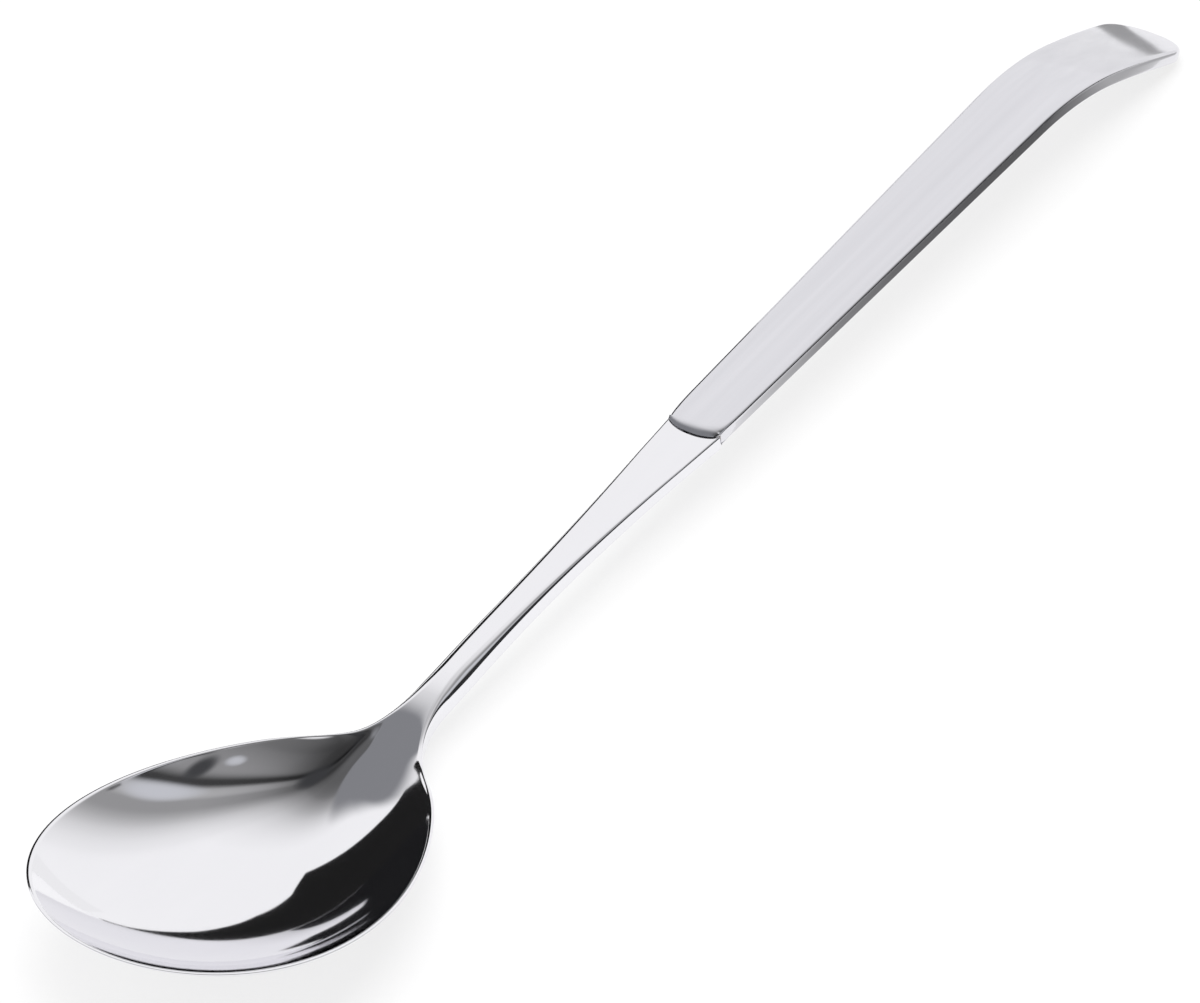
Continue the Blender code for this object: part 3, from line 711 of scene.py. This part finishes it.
# colours are linear
finishes = {
    "mirrorPolish": {"light": (0.868, 0.862, 0.893), "dark": (0.845, 0.840, 0.872), "metallic": 1.0,
                     "smooth": 0.035, "rough": 0.070, "along": 30.0, "across": 1500.0, "haze": 45.0, "bump": 0.012},
    "edgePolish": {"light": (0.800, 0.795, 0.828), "dark": (0.740, 0.735, 0.770), "metallic": 1.0,
                   "smooth": 0.07, "rough": 0.13, "along": 20.0, "across": 2200.0, "haze": 50.0, "bump": 0.015},
    "satinGrain": {"light": (0.785, 0.780, 0.818), "dark": (0.660, 0.656, 0.696), "metallic": 1.0,
                   "smooth": 0.09, "rough": 0.15, "along": 14.0, "across": 3000.0, "haze": 38.0, "bump": 0.03},
    "backSatin": {"light": (0.820, 0.815, 0.850), "dark": (0.740, 0.735, 0.770), "metallic": 1.0,
                  "smooth": 0.24, "rough": 0.36, "along": 16.0, "across": 2600.0, "haze": 34.0, "bump": 0.05},
    "seamBraze": {"light": (0.780, 0.740, 0.640), "dark": (0.640, 0.590, 0.480), "metallic": 1.0,
                  "smooth": 0.28, "rough": 0.46, "along": 60.0, "across": 1800.0, "haze": 300.0, "bump": 0.08},
    "mouthBraze": {"light": (0.740, 0.680, 0.540), "dark": (0.560, 0.500, 0.380), "metallic": 1.0,
                   "smooth": 0.30, "rough": 0.50, "along": 400.0, "across": 900.0, "haze": 400.0, "bump": 0.10},
    "cementFill": {"light": (0.640, 0.620, 0.590), "dark": (0.480, 0.465, 0.440), "metallic": 0.0,
                   "smooth": 0.75, "rough": 0.95, "along": 900.0, "across": 1100.0, "haze": 260.0, "bump": 0.40},
}


def makeFinish(name):
    look = finishes[name]
    material = bpy.data.materials.new(name)
    material.use_nodes = True
    tree = material.node_tree
    shader = tree.nodes["Principled BSDF"]
    shader.inputs["Metallic"].default_value = look["metallic"]
    lines = addNode(tree, "ShaderNodeGroup", (-900, 0), node_tree=hairlines)
    lines.inputs["Along"].default_value = look["along"]
    lines.inputs["Across"].default_value = look["across"]
    clouds = addNode(tree, "ShaderNodeGroup", (-900, -250), node_tree=haze)
    clouds.inputs["Size"].default_value = look["haze"]
    colour = addNode(tree, "ShaderNodeMix", (-500, 150), data_type="RGBA")
    colour.inputs["A"].default_value = (*look["dark"], 1.0)
    colour.inputs["B"].default_value = (*look["light"], 1.0)
    link(tree, lines.outputs["Streaks"], colour.inputs["Factor"])
    link(tree, colour.outputs["Result"], shader.inputs["Base Color"])
    share = calc(tree, "MULTIPLY", (clouds.outputs["Haze"], grain["hazeShare"]), (-780, -350))
    both = calc(tree, "MULTIPLY_ADD", (lines.outputs["Lines"], grain["lineShare"], share), (-650, -150))
    rough = addNode(tree, "ShaderNodeMapRange", (-450, -150))
    rough.inputs["To Min"].default_value = look["smooth"]
    rough.inputs["To Max"].default_value = look["rough"]
    link(tree, both, rough.inputs["Value"])
    link(tree, rough.outputs["Result"], shader.inputs["Roughness"])
    bump = addNode(tree, "ShaderNodeBump", (-250, -350))
    bump.inputs["Strength"].default_value = look["bump"]
    bump.inputs["Distance"].default_value = grain["bumpHeight"]
    link(tree, lines.outputs["Lines"], bump.inputs["Height"])
    link(tree, bump.outputs["Normal"], shader.inputs["Normal"])
    return material


def dress(piece, name):
    piece.data.materials.clear()
    piece.data.materials.append(makeFinish(name))
    print("dressed", piece.name, "in", name)


dress(bowlNeck, "mirrorPolish")
dress(shell, "satinGrain")
shell.data.materials.append(makeFinish("edgePolish"))
for i in range(*shellSides):
    shell.data.polygons[i].material_index = 1
dress(back, "backSatin")
dress(bead, "seamBraze")
dress(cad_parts["mouth_braze"], "mouthBraze")
dress(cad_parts["handle_filling"], "cementFill")

# studio: bearings and heights in degrees as seen from the bowl, bearing 0 along the handle
studio = {
    "bySide": [(-180, 0.92), (-110, 0.92), (-100, 0.85), (-95, 0.62), (-90, 0.30), (-86, 0.17), (-82, 0.17),
               (-76, 0.22), (-68, 0.28), (-63, 0.30), (-60, 0.24), (-57.5, 0.12), (-55.5, 0.05), (-53.5, 0.05),
               (-52, 0.20), (-50, 0.42), (-47, 0.46), (-43, 0.33), (-39, 0.33), (-36, 0.38), (-31, 0.54),
               (-24, 0.78), (-15, 0.93), (-5, 1.0), (75, 1.0), (180, 0.92)],
    "byHeight": [(-90, 1.0), (46, 1.0), (50, 0.97), (54, 0.91), (58, 0.81), (62, 0.67), (66, 0.48), (71, 0.29),
                 (76, 0.15), (82, 0.11), (90, 0.10)],
    # where the light reaches to the top
    "openSide": [(-180, 1.0), (-102, 1.0), (-90, 0.0), (82, 0.0), (98, 1.0), (180, 1.0)],
    # upper edge of what is dark near the floor
    "darkTop": [(-180, -60), (-60, -60), (-57, 8), (-54, 22), (-48, 27), (-44, 25), (-42, 20),
                (-38, 17), (-34, 13), (-30, 12), (-26, 10), (-22, 5), (-20, -60), (180, -60)],
    "darkTone": 0.03, "darkSoft": 0.8,
    # lower edge of the grey card overhead
    "cardFoot": [(-180, 89), (26, 89), (33, 76), (38, 66), (44, 60), (50, 58), (56, 55), (61, 50), (64, 46),
                 (66.5, 40), (68, 33), (69.5, 27), (71, 23), (77, 22), (82, 40), (90, 58), (104, 66), (115, 89),
                 (180, 89)],
    "cardTone": 0.25, "cardSoft": 10.0,
    "zenith": 85.5, "zenithTone": 0.40, "zenithSoft": 0.014,
    "tint": (0.98, 1.0, 1.05),   # the studio is slightly cool
    # bearing, height, half width, half height, softness, tone
    "patches": [(-73, 23, 17, 13, 0.5, 0.42), (-62, 41, 6.0, 2.6, 0.8, 0.06), (-48.5, 37, 4.4, 9.0, 1.0, 0.62),
                (-68, 46.8, 2.6, 2.1, 1.0, 0.58), (-46, 74, 14, 5, 0.9, 0.05)],
    # outline of the black board behind the spoon
    "board": [(16, -1), (20, 2), (26, 9), (31, 17), (37, 22), (39, 28.5), (50, 27), (62, 24.5), (69, 21),
              (70.5, 12), (69, 5), (66, -1)],
    "boardTone": 0.013, "boardAway": 1.0, "boardBearing": 45.0, "boardBase": 0.008,
    # what the second reflection in the steel sees, height and bearing: beyond this bearing it is dark
    "deepEdge": [(-90, 45), (25, 45), (30, 29), (46, 29), (52, 44), (58, 44), (62, -12), (90, -20)],
    "deepSoft": 1.5, "deepEnd": (160.0, 172.0), "twice": (1.4, 1.6),   # glossy depth of the second reflection
    # grey card on the floor beside the handle, painted shade: it stands in for the handle's shadow on the floor as
    # the steel's side wall reflects it, paler at its near edge: frame x, tone
    "sideShadowCard": [(0.028, 0.9), (0.045, 0.55), (0.062, 0.30), (0.085, 0.18), (0.110, 0.13), (0.138, 0.13),
                 (0.150, 0.26), (0.160, 0.48), (0.200, 0.50), (0.230, 0.9)],
    "sideNear": 0.0045, "sideFull": 0.0075, "sideFar": 0.600, "sideSkew": 0.90, "sideShift": 0.012, "sideLight": 0.9,
    # grey strip on the floor beyond the end of the handle, frame x and y
    "tipCard": [(0.186, 0.011), (0.200, 0.012), (0.209, 0.013), (0.246, 0.023), (0.320, 0.044), (0.320, 0.058),
                (0.269, 0.0415), (0.254, 0.038), (0.204, 0.024), (0.186, 0.0185)],
    "tipTone": 0.38,
    # low white card behind the handle: x from, x to, y, height
    "fillCard": (0.070, 0.240, 0.035, 0.032),
    # low white card beyond the end: x, y from, y to, height
    "endCard": (0.360, -0.060, 0.140, 0.050),
    # black mat on the floor before the board: bearing from, bearing to, near, far
    "mat": (52.0, 71.0, 0.20, 1.05),
    # black mat on the floor behind the heel, frame x and y
    "heelMat": [(-0.083, 0.008), (0.0, 0.008), (0.03, 0.03), (0.035, 0.036), (-0.068, 0.036), (-0.083, 0.022)],
    "cardLift": 0.0002, "heelLift": 0.0003, "whiteTone": 0.95,
    "floorSize": 3.0, "floorDrop": 0.0001, "floorColour": (0.93, 0.93, 0.93), "floorGlow": 0.68,
    "lampPower": 14.0, "lampSize": 1.2, "lampHeight": 1.5,
}


# bearings as parts of the whole turn, heights as parts of the half turn
def sideShare(bearing):
    return (bearing + 180.0) / 360.0


def upShare(rise):
    return (rise + 90.0) / 180.0


def addCurve(tree, place, spots, sharp):
    node = addNode(tree, "ShaderNodeFloatCurve", place)
    curve = node.mapping.curves[0]
    while len(curve.points) < len(spots):
        curve.points.new(0.5, 0.5)
    for point, spot in zip(curve.points, sorted(spots)):
        point.location = spot
        point.handle_type = "VECTOR" if sharp else "AUTO_CLAMPED"
    node.mapping.update()
    return node


def makeWorld():
    world = bpy.data.worlds.new("studio")
    world.use_nodes = True
    bpy.context.scene.world = world
    tree = world.node_tree
    tree.nodes.clear()
    coord = addNode(tree, "ShaderNodeTexCoord", (-1600, 0))
    parts = addNode(tree, "ShaderNodeSeparateXYZ", (-1400, 0))
    link(tree, coord.outputs["Generated"], parts.inputs["Vector"])
    bearing = calc(tree, "ARCTAN2", (parts.outputs["Y"], parts.outputs["X"]), (-1200, 150))
    height = calc(tree, "ARCSINE", (parts.outputs["Z"],), (-1200, -150))

    def share(source, reach, place):
        node = addNode(tree, "ShaderNodeMapRange", place)
        node.inputs["From Min"].default_value = -reach
        node.inputs["From Max"].default_value = reach
        link(tree, source, node.inputs["Value"])
        return node.outputs["Result"]

    side = share(bearing, math.pi, (-1000, 150))
    up = share(height, math.pi / 2, (-1000, -150))

    def curve(spots, source, sharp, place):
        node = addCurve(tree, place, spots, sharp)
        link(tree, source, node.inputs["Value"])
        return node.outputs["Value"]

    bySide = curve([(sideShare(a), v) for a, v in studio["bySide"]], side, False, (-750, 500))
    byHeight = curve([(upShare(h), v) for h, v in studio["byHeight"]], up, False, (-750, 150))
    openSide = curve([(sideShare(a), v) for a, v in studio["openSide"]], side, False, (-750, 820))
    darkTop = curve([(sideShare(a), upShare(h)) for a, h in studio["darkTop"]], side, True, (-750, -200))
    cardFoot = curve([(sideShare(a), upShare(h)) for a, h in studio["cardFoot"]], side, False, (-750, -550))
    deepEdge = curve([(upShare(h), sideShare(a)) for h, a in studio["deepEdge"]], up, True, (-750, -900))
    reach = calc(tree, "MAXIMUM", (byHeight, openSide), (-600, 300))
    light = calc(tree, "MULTIPLY", (bySide, reach), (-450, 300))

    def ramp(value, low, high, first, last, place):
        node = addNode(tree, "ShaderNodeMapRange", place, interpolation_type="SMOOTHSTEP")
        node.inputs["From Min"].default_value = low
        node.inputs["From Max"].default_value = high
        node.inputs["To Min"].default_value = first
        node.inputs["To Max"].default_value = last
        link(tree, value, node.inputs["Value"])
        return node.outputs["Result"]

    def over(value, edge, soft, place):
        gap = calc(tree, "SUBTRACT", (value, edge), place)
        return ramp(gap, -soft, soft, 0.0, 1.0, (place[0] + 180, place[1]))

    def blot(bearing, rise, wide, tall, soft, place):
        squares = []
        across = (side, sideShare(bearing), wide / 360.0)
        upward = (up, upShare(rise), tall / 180.0)
        for value, middle, size in (across, upward):
            row = place[1] - 160 * len(squares)
            gap = calc(tree, "SUBTRACT", (value, middle), (place[0], row))
            scaled = calc(tree, "DIVIDE", (gap, size), (place[0] + 180, row))
            squares.append(calc(tree, "MULTIPLY", (scaled, scaled), (place[0] + 360, row)))
        total = calc(tree, "ADD", squares, (place[0] + 540, place[1]))
        return ramp(total, 1.0 - soft, 1.0 + soft, 1.0, 0.0, (place[0] + 720, place[1]))

    def mix(factor, first, tone, place):
        node = addNode(tree, "ShaderNodeMix", place, data_type="RGBA")
        link(tree, factor, node.inputs["Factor"])
        link(tree, first, node.inputs["A"])
        node.inputs["B"].default_value = (*[min(tone * part, 1.0) for part in studio["tint"]], 1.0)
        return node.outputs["Result"]

    card = over(up, cardFoot, studio["cardSoft"] / 180.0, (-450, -550))
    seen = mix(card, light, studio["cardTone"], (0, 100))
    for i, (bearing, rise, wide, tall, soft, tone) in enumerate(studio["patches"]):
        patch = blot(bearing, rise, wide, tall, soft, (-1400, -1200 - 400 * i))
        seen = mix(patch, seen, tone, (200 + 100 * i, 100))
    high = upShare(studio["zenith"])
    top = ramp(up, high - studio["zenithSoft"], high + studio["zenithSoft"], 0.0, 1.0, (500, -200))
    seen = mix(top, seen, studio["zenithTone"], (900, 100))
    low = over(darkTop, up, studio["darkSoft"] / 180.0, (-450, -200))
    seen = mix(low, seen, studio["darkTone"], (1100, 100))
    path = addNode(tree, "ShaderNodeLightPath", (600, 400))
    twice = ramp(path.outputs["Glossy Depth"], *studio["twice"], 0.0, 1.0, (800, 400))
    beyond = over(side, deepEdge, studio["deepSoft"] / 360.0, (-450, -900))
    deep = calc(tree, "MULTIPLY", (twice, beyond), (1000, 400))
    deepEnd = ramp(side, *[sideShare(a) for a in studio["deepEnd"]], 1.0, 0.0, (800, 600))
    inner = calc(tree, "MULTIPLY", (deep, deepEnd), (1150, 400))
    seen = mix(inner, seen, studio["boardTone"], (1300, 100))
    white = addNode(tree, "ShaderNodeMix", (1500, 100), data_type="RGBA")
    white.inputs["B"].default_value = (1.0, 1.0, 1.0, 1.0)
    link(tree, path.outputs["Is Camera Ray"], white.inputs["Factor"])
    link(tree, seen, white.inputs["A"])
    background = addNode(tree, "ShaderNodeBackground", (1700, 100))
    link(tree, white.outputs["Result"], background.inputs["Color"])
    result = addNode(tree, "ShaderNodeOutputWorld", (1900, 100))
    link(tree, background.outputs["Background"], result.inputs["Surface"])


def makeFloor():
    size = studio["floorSize"] / 2
    mesh = bpy.data.meshes.new("floor")
    corners = [(-size, -size), (size, -size), (size, size), (-size, size)]
    mesh.from_pydata([(x, y, -studio["floorDrop"]) for x, y in corners], [], [(0, 1, 2, 3)])
    floor = bpy.data.objects.new("floor", mesh)
    bpy.context.scene.collection.objects.link(floor)
    material = bpy.data.materials.new("paleFloor")
    material.use_nodes = True
    tree = material.node_tree
    tree.nodes.clear()
    matt = addNode(tree, "ShaderNodeBsdfDiffuse", (0, 0))
    matt.inputs["Color"].default_value = (*studio["floorColour"], 1.0)
    glow = addNode(tree, "ShaderNodeEmission", (0, -200))
    path = addNode(tree, "ShaderNodeLightPath", (-700, 200))
    seen = calc(tree, "MAXIMUM", (path.outputs["Is Camera Ray"], path.outputs["Is Glossy Ray"]), (-450, 200))
    also = calc(tree, "MAXIMUM", (seen, path.outputs["Is Transmission Ray"]), (-250, 200))
    amount = calc(tree, "MULTIPLY", (also, studio["floorGlow"]), (-50, 200))
    mixed = addNode(tree, "ShaderNodeMixShader", (250, 0))
    link(tree, amount, mixed.inputs["Fac"])
    link(tree, matt.outputs["BSDF"], mixed.inputs[1])
    link(tree, glow.outputs["Emission"], mixed.inputs[2])
    result = addNode(tree, "ShaderNodeOutputMaterial", (450, 0))
    link(tree, mixed.outputs["Shader"], result.inputs["Surface"])
    mesh.materials.append(material)


def makeLamp():
    data = bpy.data.lights.new("softbox", "AREA")
    data.energy = studio["lampPower"]
    data.size = studio["lampSize"]
    lamp = bpy.data.objects.new("softbox", data)
    lamp.location = (0.0, 0.0, studio["lampHeight"])
    lamp.visible_glossy = False
    bpy.context.scene.collection.objects.link(lamp)


# boards and cards that only the metal sees, one tone for each point
def addBoard(name, points, faces, tones):
    mesh = bpy.data.meshes.new(name)
    mesh.from_pydata(points, [], faces)
    shades = mesh.attributes.new("shade", "FLOAT_COLOR", "POINT")
    for item, tone in zip(shades.data, tones):
        item.color = (tone, tone, tone, 1.0)
    board = bpy.data.objects.new(name, mesh)
    bpy.context.scene.collection.objects.link(board)
    material = bpy.data.materials.new(name)
    material.use_nodes = True
    tree = material.node_tree
    tree.nodes.clear()
    shade = addNode(tree, "ShaderNodeAttribute", (-250, 0), attribute_name="shade")
    glow = addNode(tree, "ShaderNodeEmission", (0, 0))
    link(tree, shade.outputs["Color"], glow.inputs["Color"])
    result = addNode(tree, "ShaderNodeOutputMaterial", (200, 0))
    link(tree, glow.outputs["Emission"], result.inputs["Surface"])
    mesh.materials.append(material)
    board.visible_camera = False
    board.visible_diffuse = False
    board.visible_shadow = False


def makeBoards():
    def addFlat(name, points, tone):
        addBoard(name, points, [tuple(range(len(points)))], [tone] * len(points))

    lift = studio["cardLift"]
    facing = math.radians(studio["boardBearing"])
    away = studio["boardAway"]
    points = []
    for bearing, rise in studio["board"]:
        turn = math.radians(bearing) - facing
        aside = away * math.tan(turn)
        points.append((bowl["middleX"] + away * math.cos(facing) - aside * math.sin(facing),
                       away * math.sin(facing) + aside * math.cos(facing),
                       studio["boardBase"] + away * math.tan(math.radians(rise)) / math.cos(turn)))
    addFlat("blackBoard", points, studio["boardTone"])

    # painted shade: the grey card beside the handle stands in for the handle's shadow on the floor, darkest beside
    # the middle of the handle
    points = []
    tones = []
    faces = []
    for x, tone in studio["sideShadowCard"]:
        half = handleHalf(x - studio["sideShift"] - bowl["middleX"] - mouthAt)
        points += [(x, -half - studio["sideNear"], lift), (x, -half - studio["sideFull"], lift),
                   (x + studio["sideSkew"] * studio["sideFar"], -studio["sideFar"], lift)]
        tones += [0.5 * (tone + studio["sideLight"]), tone, tone]
    for i in range(0, len(points) - 3, 3):
        faces += [(i + j, i + j + 1, i + j + 4, i + j + 3) for j in (0, 1)]
    addBoard("sideShadowCard", points, faces, tones)

    addFlat("tipCard", [(x, y, lift) for x, y in studio["tipCard"]], studio["tipTone"])
    start, end, y, top = studio["fillCard"]
    addFlat("fillCard", [(start, y, 0.0), (end, y, 0.0), (end, y, top), (start, y, top)], studio["whiteTone"])
    x, start, end, top = studio["endCard"]
    addFlat("endCard", [(x, start, 0.0), (x, end, 0.0), (x, end, top), (x, start, top)], studio["whiteTone"])
    first, last, near, far = studio["mat"]
    points = []
    for bearing, reach in ((first, near), (first, far), (last, far), (last, near)):
        turn = math.radians(bearing)
        points.append((bowl["middleX"] + reach * math.cos(turn), reach * math.sin(turn), lift))
    addFlat("blackMat", points, studio["boardTone"])
    addFlat("heelMat", [(x, y, studio["heelLift"]) for x, y in studio["heelMat"]], studio["boardTone"])


makeWorld()
makeFloor()
makeLamp()
makeBoards()
print("studio ready")

# camera at the photograph's angle, azimuth 0 looks along +Y
view = {"azimuth": -57.824, "elevation": 37.913, "roll": 0.570, "distance": 2.4,
        "target": (-0.007135, 0.007184, 0.006589), "focalPixels": 13284.15, "imageWidth": 1200,
        "sensor": 36.0, "clipEnd": 20.0}


def makeCamera():
    a = math.radians(view["azimuth"])
    e = math.radians(view["elevation"])
    r = math.radians(view["roll"])
    back = Vector((math.sin(a) * math.cos(e), -math.cos(a) * math.cos(e), math.sin(e)))
    level = Vector((math.cos(a), math.sin(a), 0.0))
    upright = back.cross(level)
    right = level * math.cos(r) + upright * math.sin(r)
    up = upright * math.cos(r) - level * math.sin(r)
    data = bpy.data.cameras.new("camera")
    data.sensor_fit = "HORIZONTAL"
    data.sensor_width = view["sensor"]
    data.lens = view["focalPixels"] * data.sensor_width / view["imageWidth"]
    data.clip_end = view["clipEnd"]
    camera = bpy.data.objects.new("camera", data)
    place = Vector(view["target"]) + back * view["distance"]
    camera.matrix_world = Matrix((
        (right.x, up.x, back.x, place.x), (right.y, up.y, back.y, place.y),
        (right.z, up.z, back.z, place.z), (0.0, 0.0, 0.0, 1.0)))
    bpy.context.scene.collection.objects.link(camera)
    bpy.context.scene.camera = camera


makeCamera()
bpy.context.scene.view_settings.view_transform = "Standard"
